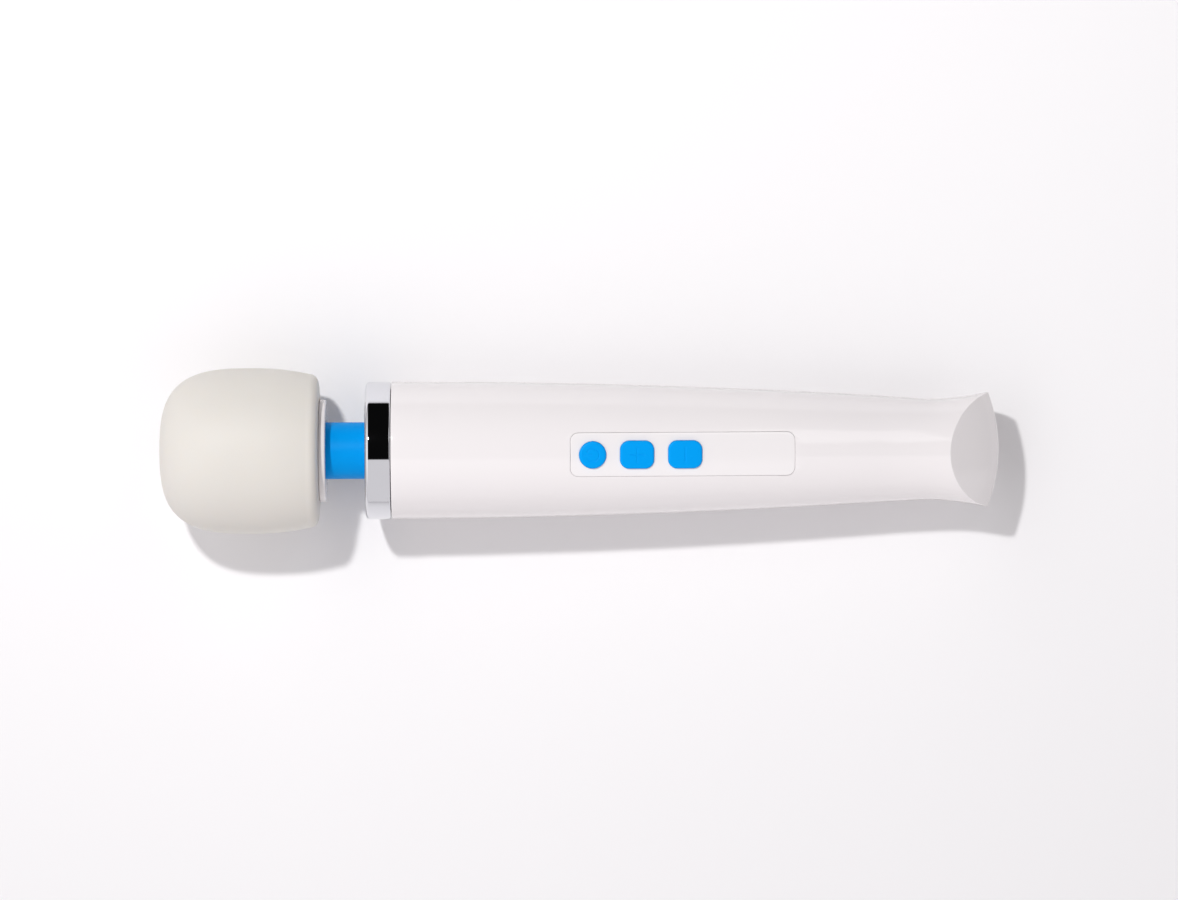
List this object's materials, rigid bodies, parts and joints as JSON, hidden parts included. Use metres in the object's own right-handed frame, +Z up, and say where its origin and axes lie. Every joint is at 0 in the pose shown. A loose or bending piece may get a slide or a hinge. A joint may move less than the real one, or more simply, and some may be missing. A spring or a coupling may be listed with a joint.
{
  "type": "handheld wand massager",
  "caption": "Cordless wand massager: soft round head on a flexible neck, chrome collar, slim handle with press buttons on a panel and a slanted lens-shaped tail.",
  "frame": {"origin": "centre of the bounding box on the surface the wand lies on", "axes": "+X along the wand from head to tail, +Y to its left side, +Z up out of the control panel's side"},
  "size_m": [0.2481, 0.049, 0.0491],
  "materials": {
    "cream_silicone": "satin matte silicone",
    "white_plastic": "high gloss",
    "blue_silicone": "satin silicone",
    "chrome": "mirror polished plate",
    "inner_plastic": "moulded, matte",
    "steel": "machined",
    "brass": "machined",
    "ferrite": "sintered, matte",
    "black_rubber": "matte",
    "green_board": "solder mask",
    "cell_wrap": "shrink wrap over steel",
    "red_wire": "insulation",
    "black_wire": "insulation"
  },
  "bodies": {
    "handle": {"top_shell": "white_plastic", "bottom_shell": "white_plastic", "control_panel": "white_plastic", "collar_ring": "chrome", "nose_plate": "white_plastic", "sleeve_clamp_ring": "inner_plastic", "neck_sleeve": "blue_silicone", "motor_mount": "inner_plastic", "motor_screw_left": "steel", "motor_screw_right": "steel", "motor_can": "steel", "motor_bush": "brass", "motor_magnet_upper": "ferrite", "motor_magnet_lower": "ferrite", "motor_end_bell": "black_rubber", "motor_damper": "black_rubber", "battery_cell": "cell_wrap", "battery_cradle": "inner_plastic", "charge_board": "green_board", "charge_contact_left": "brass", "charge_contact_right": "brass", "control_board": "green_board", "controller_chip": "black_rubber", "board_screw_front": "steel", "board_screw_rear": "steel", "power_switch": "inner_plastic", "plus_switch": "inner_plastic", "minus_switch": "inner_plastic", "shell_screw_front_left": "steel", "shell_screw_front_right": "steel", "shell_screw_rear_left": "steel", "shell_screw_rear_right": "steel", "motor_lead_red": "red_wire", "motor_lead_black": "black_wire", "battery_lead_red": "red_wire", "battery_lead_black": "black_wire"},
    "neck_mid": {"neck_guide_ring": "inner_plastic"},
    "head": {"head_cap": "cream_silicone", "head_cup": "inner_plastic", "head_base_plate": "white_plastic", "bearing_bridge": "inner_plastic", "front_bearing_outer": "steel", "rear_bearing_outer": "steel"},
    "head_rotor": {"head_shaft": "steel", "front_bearing_inner": "steel", "rear_bearing_inner": "steel", "eccentric_weight": "brass", "head_hub": "steel"},
    "motor_rotor": {"motor_shaft": "steel", "armature": "steel", "commutator": "brass", "motor_hub": "steel", "drive_spring": "steel"},
    "power_key": {"power_button": "blue_silicone", "power_plunger": "inner_plastic"},
    "plus_key": {"plus_button": "blue_silicone", "plus_plunger": "inner_plastic"},
    "minus_key": {"minus_button": "blue_silicone", "minus_plunger": "inner_plastic"}
  },
  "joints": [
    {"name": "neck_pitch", "type": "hinge", "parent": "handle", "child": "neck_mid", "pos_m": [-0.06638, 0, 0.02373], "axis": [0, 1, 0], "range_deg": [-12, 12], "stiffness_Nm_per_rad": 6, "deforming": ["neck_sleeve", "drive_spring"]},
    {"name": "neck_yaw", "type": "hinge", "parent": "neck_mid", "child": "head", "pos_m": [-0.07208, 0, 0.02388], "axis": [0.0262, 0, 0.9997], "range_deg": [-12, 12], "stiffness_Nm_per_rad": 6, "deforming": ["neck_sleeve", "drive_spring"]},
    {"name": "motor_spin", "type": "hinge", "parent": "handle", "child": "motor_rotor", "pos_m": [-0.05118, 0, 0.02334], "axis": [0.9997, 0, -0.0262], "continuous": true},
    {"name": "head_spin", "type": "hinge", "parent": "head", "child": "head_rotor", "pos_m": [-0.07208, 0, 0.02388], "axis": [0.9997, 0, -0.0262], "continuous": true},
    {"name": "power_press", "type": "slide", "parent": "handle", "child": "power_key", "axis": [-0.0631, 0, -0.998], "range_m": [0, 0.0007], "stiffness_N_per_m": 1500},
    {"name": "plus_press", "type": "slide", "parent": "handle", "child": "plus_key", "axis": [-0.0631, 0, -0.998], "range_m": [0, 0.0007], "stiffness_N_per_m": 1500},
    {"name": "minus_press", "type": "slide", "parent": "handle", "child": "minus_key", "axis": [-0.0631, 0, -0.998], "range_m": [0, 0.0007], "stiffness_N_per_m": 1500}
  ],
  "couplings": [
    {"joint": "head_spin", "follows": "motor_spin", "ratio": 1}
  ]
}
